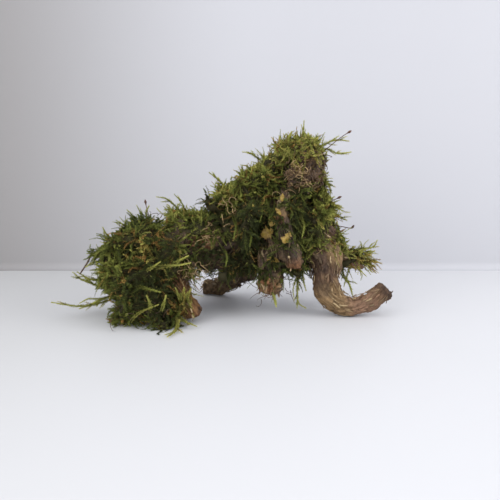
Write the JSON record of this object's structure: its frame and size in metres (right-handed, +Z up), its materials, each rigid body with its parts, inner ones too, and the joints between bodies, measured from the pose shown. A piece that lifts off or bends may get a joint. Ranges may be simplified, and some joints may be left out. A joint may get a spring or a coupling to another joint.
{
  "type": "mossy branch",
  "caption": "Gnarled branch of root wood that stands on a bent leg, a back leg and a mossy end, thickly overgrown with feathery moss.",
  "frame": {"origin": "centre of the bounding box's bottom, on the surface that the branch stands on", "axes": "+X along the branch, from the mossy end towards the bent leg; +Z up; -Y is the front"},
  "size_m": [0.21, 0.1172, 0.1225],
  "materials": {
    "bark": "rough dark bark, ridged and fibrous",
    "old_bark": "weathered bark, smooth and tan on the foot",
    "red_bark": "reddish brown bark",
    "litter": "matted dead roots and litter",
    "deep_moss": "dark green feathery moss",
    "olive_moss": "olive feathery moss",
    "light_moss": "yellow-green moss shoots",
    "dry_leaf": "dry ochre leaf",
    "capsule_stalk": "thin dark stalk with a ripe capsule"
  },
  "bodies": {
    "root": {"back_leg": "bark", "bare_twig": "bark", "body_moss": "deep_moss", "crown_moss": "light_moss", "dry_leaf_left": "dry_leaf", "dry_leaf_lower": "dry_leaf", "dry_leaf_upper": "dry_leaf", "front_root": "bark", "left_foot": "red_bark", "left_moss": "olive_moss", "main_stem": "bark", "middle_stub": "bark", "peak_limb": "bark", "ridge_moss": "olive_moss", "right_flank_moss": "olive_moss", "right_leg": "old_bark", "root_litter": "litter", "saddle_moss": "olive_moss", "shoot_back_left": "light_moss", "shoot_back_low": "light_moss", "shoot_back_right": "light_moss", "shoot_crown_curl": "light_moss", "shoot_crown_drop": "light_moss", "shoot_crown_long": "light_moss", "shoot_crown_top": "light_moss", "shoot_fallen": "light_moss", "shoot_flank_lower": "light_moss", "shoot_flank_upper": "light_moss", "shoot_left_crest": "light_moss", "shoot_left_floor": "light_moss", "shoot_left_low": "light_moss", "shoot_left_middle": "light_moss", "shoot_left_shoulder": "light_moss", "shoot_left_tip": "light_moss", "shoot_left_upper": "light_moss", "shoot_middle_hanging": "light_moss", "shoot_ridge": "light_moss", "shoot_saddle_long": "light_moss", "shoot_saddle_short": "light_moss", "shoot_shoulder": "light_moss", "shoot_spur_hanging": "light_moss", "shoot_spur_long": "light_moss", "shoot_spur_tip": "light_moss", "side_spur": "old_bark", "spur_moss": "light_moss", "stalk_crown": "capsule_stalk", "stalk_flank": "capsule_stalk", "stalk_left": "capsule_stalk", "stalk_side": "capsule_stalk"}
  },
  "joints": []
}
